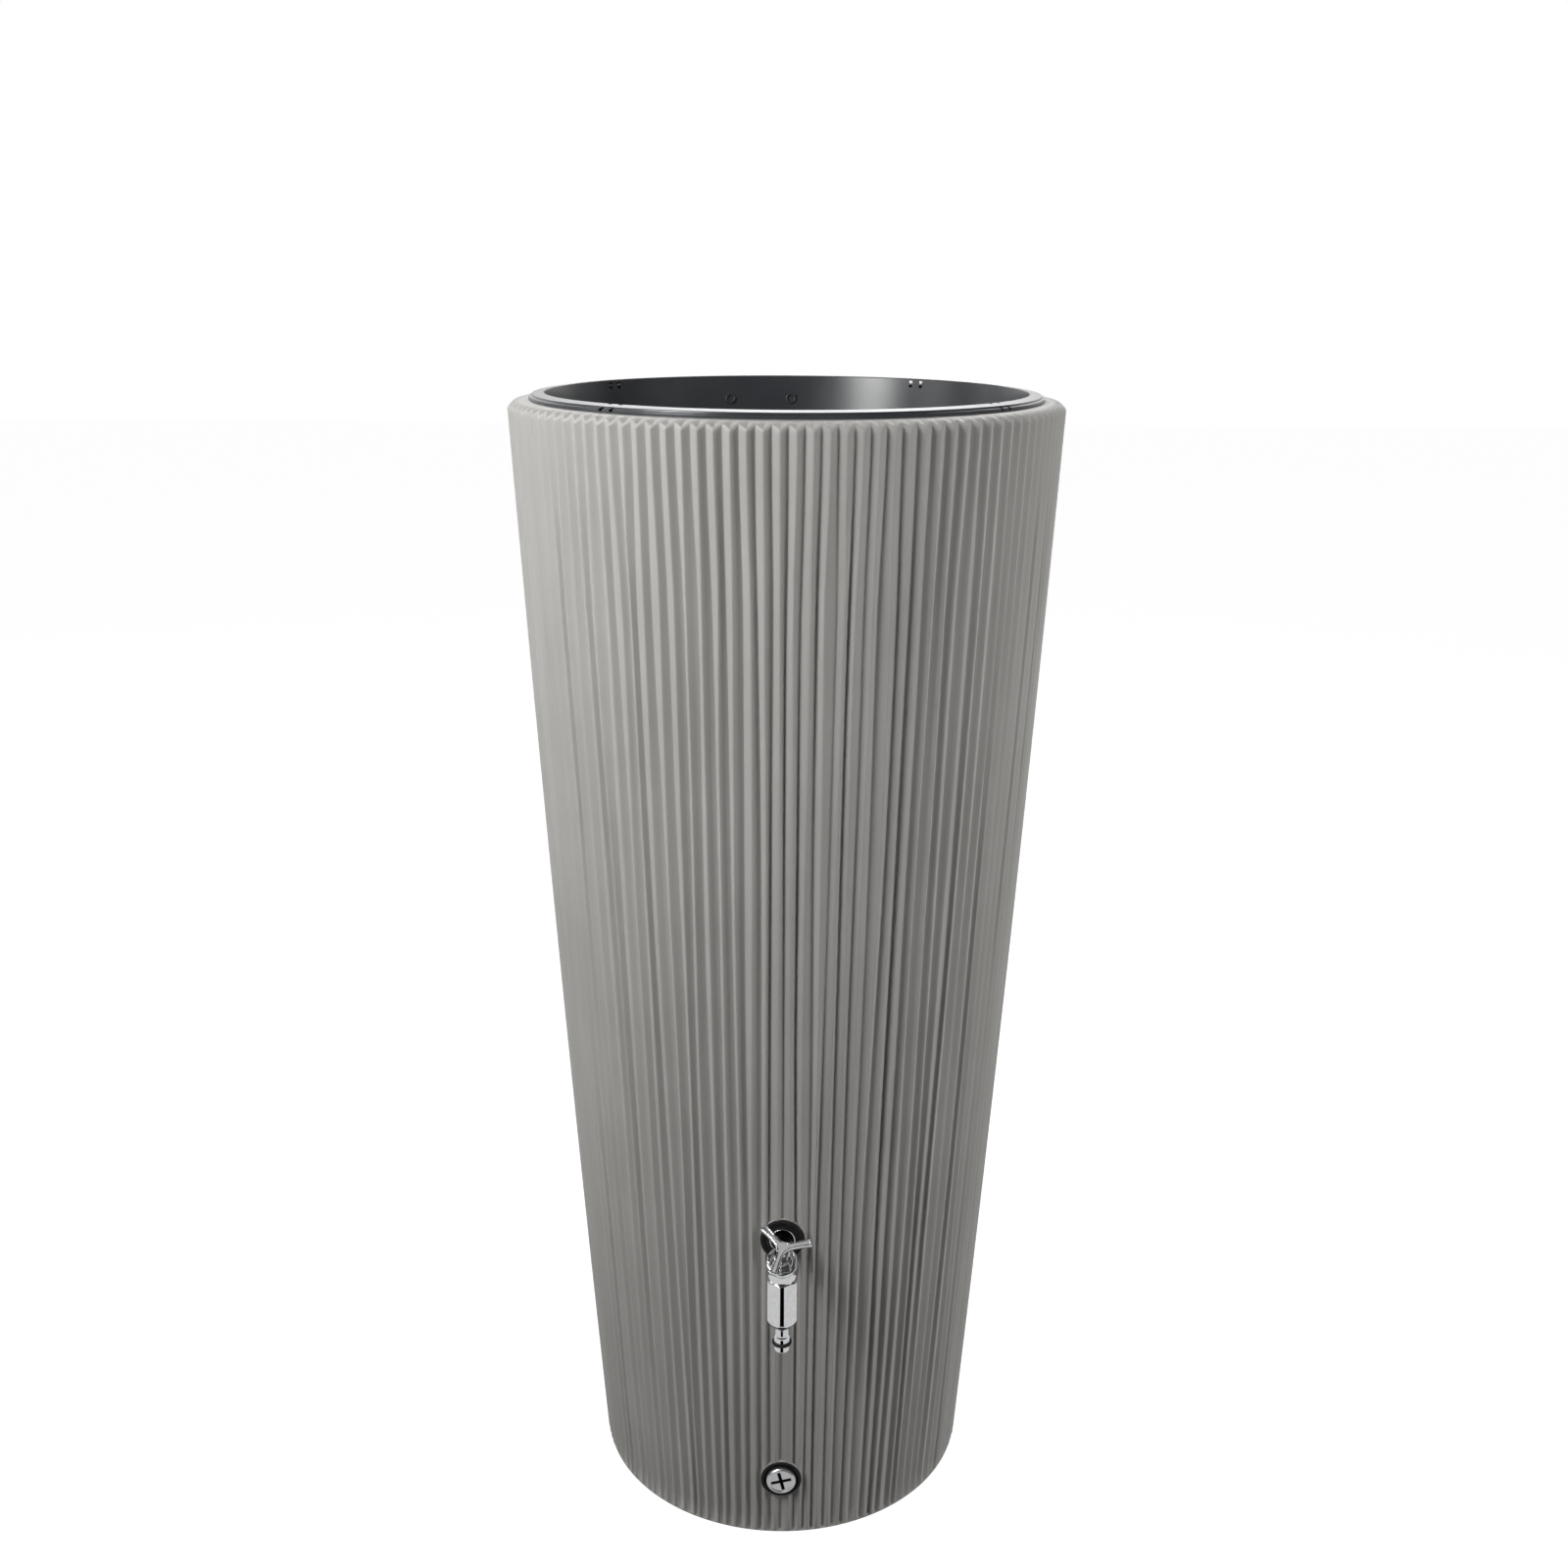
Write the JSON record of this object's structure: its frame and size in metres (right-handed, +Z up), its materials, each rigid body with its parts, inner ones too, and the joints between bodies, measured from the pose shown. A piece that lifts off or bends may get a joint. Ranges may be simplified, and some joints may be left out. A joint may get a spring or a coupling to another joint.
{
  "type": "rain barrel",
  "caption": "Tapered ribbed rain barrel with a lift-out planter bowl in its mouth, an angled screw-down tap with a hose nipple, and a drain plug near the foot.",
  "frame": {"origin": "middle of the foot, on the ground", "axes": "+Z up, the tap and drain plug at the front (-Y), +X to the right seen from the front"},
  "size_m": [0.58, 0.6418, 1.2616],
  "materials": {
    "grey_tank": "matte warm grey moulded plastic",
    "dark_bowl": "satin anthracite moulded plastic",
    "chrome": "polished chrome plating",
    "satin_metal": "satin chrome plating",
    "steel": "turned steel",
    "brass": "machined brass",
    "black_rubber": "black moulded rubber",
    "fibre": "red-brown fibre gasket"
  },
  "bodies": {
    "tank": {"barrel_shell": "grey_tank", "tap_insert": "brass", "drain_insert": "brass", "tap_rosette": "black_rubber", "tap_lock_ring": "chrome", "tap_body": "chrome", "bonnet_gasket": "fibre", "tap_bonnet": "chrome", "gland_packing": "black_rubber", "gland_nut": "chrome"},
    "planter": {"planter_bowl": "dark_bowl"},
    "valve": {"valve_jumper": "brass", "valve_washer": "black_rubber", "washer_nut": "brass"},
    "handle": {"tap_spindle": "steel", "tap_handle": "chrome", "handle_set_screw": "steel"},
    "outlet_washer": {"adapter_washer": "black_rubber"},
    "hose_end": {"hose_adapter": "chrome", "nipple_seal": "black_rubber", "hose_nipple": "chrome", "nipple_o_ring": "black_rubber"},
    "plug_seal": {"drain_seal": "black_rubber"},
    "plug": {"drain_plug": "satin_metal"}
  },
  "joints": [
    {"name": "planter_lift", "type": "slide", "parent": "tank", "child": "planter", "axis": [0, 0, 1], "range_m": [0, 0.35]},
    {"name": "valve_lift", "type": "slide", "parent": "tank", "child": "valve", "axis": [0, -0.5299, 0.848], "range_m": [0, 0.005]},
    {"name": "handle_turn", "type": "hinge", "parent": "valve", "child": "handle", "pos_m": [0, -0.299, 0.401], "axis": [0, -0.5299, 0.848], "range_deg": [0, 900]},
    {"name": "adapter_drop", "type": "slide", "parent": "tank", "child": "outlet_washer", "axis": [0, 0, -1], "range_m": [0, 0.00908]},
    {"name": "adapter_turn", "type": "hinge", "parent": "outlet_washer", "child": "hose_end", "pos_m": [0, -0.299, 0.365], "axis": [0, 0, -1], "range_deg": [0, 1800]},
    {"name": "drain_out", "type": "slide", "parent": "tank", "child": "plug_seal", "axis": [0, -1, 0], "range_m": [0, 0.0109]},
    {"name": "drain_turn", "type": "hinge", "parent": "plug_seal", "child": "plug", "pos_m": [0, -0.22, 0.0785], "axis": [0, -1, 0], "range_deg": [0, 2160]}
  ],
  "couplings": [
    {"joint": "valve_lift", "follows": "handle_turn", "m_per_rad": 0.00031831},
    {"joint": "adapter_drop", "follows": "adapter_turn", "m_per_rad": 0.00028871},
    {"joint": "drain_out", "follows": "drain_turn", "m_per_rad": 0.00028871}
  ]
}
